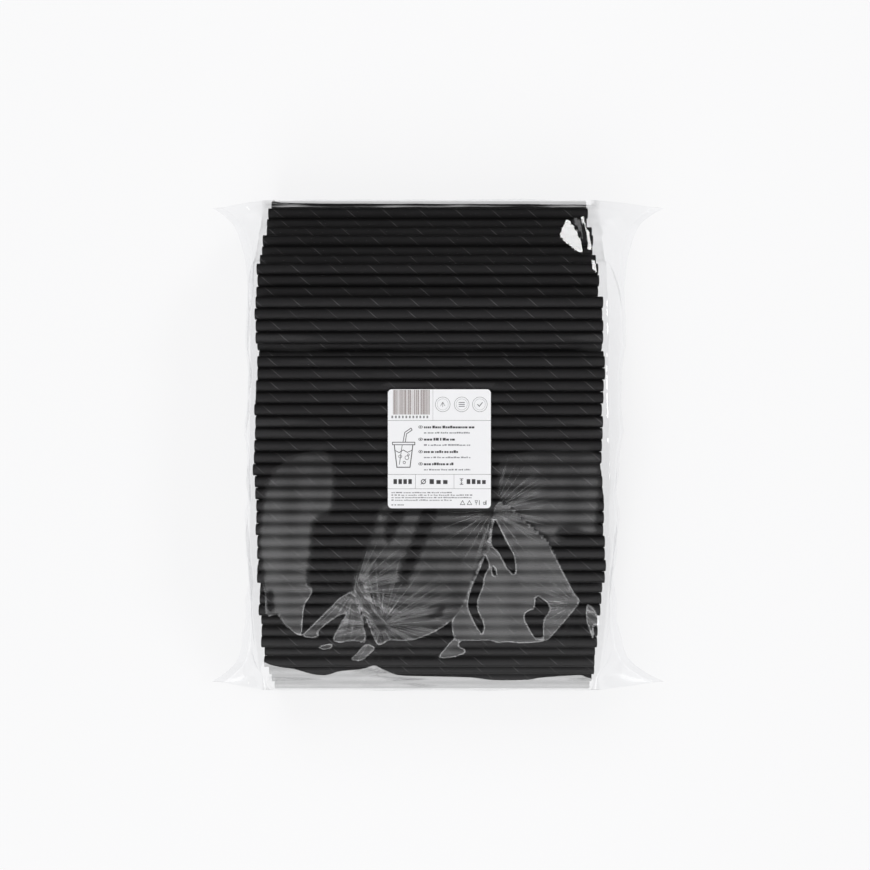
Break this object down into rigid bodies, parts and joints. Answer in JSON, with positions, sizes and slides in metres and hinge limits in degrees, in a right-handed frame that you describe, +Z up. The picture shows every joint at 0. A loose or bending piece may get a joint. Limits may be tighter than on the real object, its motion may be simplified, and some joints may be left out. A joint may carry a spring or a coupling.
{
  "type": "bag of paper drinking straws",
  "caption": "Clear film pillow bag packed with black spiral-wound paper drinking straws, with a white printed label stuck on top.",
  "frame": {"origin": "on the surface the bag lies on, under the middle of the bag's length and width", "axes": "+X along the straws, +Y across them towards the bag's back, +Z up through the labelled face"},
  "size_m": [0.3454, 0.3738, 0.1014],
  "materials": {
    "clear_film": "clear, glossy",
    "label_paper": "smooth printed paper",
    "black_paper": "matte dyed paper"
  },
  "bodies": {
    "root": {"film_bag": "clear_film", "paper_label": "label_paper", "straw_row_01": "black_paper", "straw_row_02": "black_paper", "straw_row_03": "black_paper", "straw_row_04": "black_paper", "straw_row_05": "black_paper", "straw_row_06": "black_paper", "straw_row_07": "black_paper", "straw_row_08": "black_paper", "straw_row_09": "black_paper", "straw_row_10": "black_paper", "straw_row_11": "black_paper", "straw_row_12": "black_paper", "straw_row_13": "black_paper", "top_straw_01": "black_paper", "top_straw_02": "black_paper", "top_straw_03": "black_paper", "top_straw_04": "black_paper", "top_straw_05": "black_paper", "top_straw_06": "black_paper", "top_straw_07": "black_paper", "top_straw_08": "black_paper", "top_straw_09": "black_paper", "top_straw_10": "black_paper", "top_straw_11": "black_paper", "top_straw_12": "black_paper", "top_straw_13": "black_paper", "top_straw_14": "black_paper", "top_straw_15": "black_paper", "top_straw_16": "black_paper", "top_straw_17": "black_paper", "top_straw_18": "black_paper", "top_straw_19": "black_paper", "top_straw_20": "black_paper", "top_straw_21": "black_paper", "top_straw_22": "black_paper", "top_straw_23": "black_paper"}
  },
  "joints": []
}
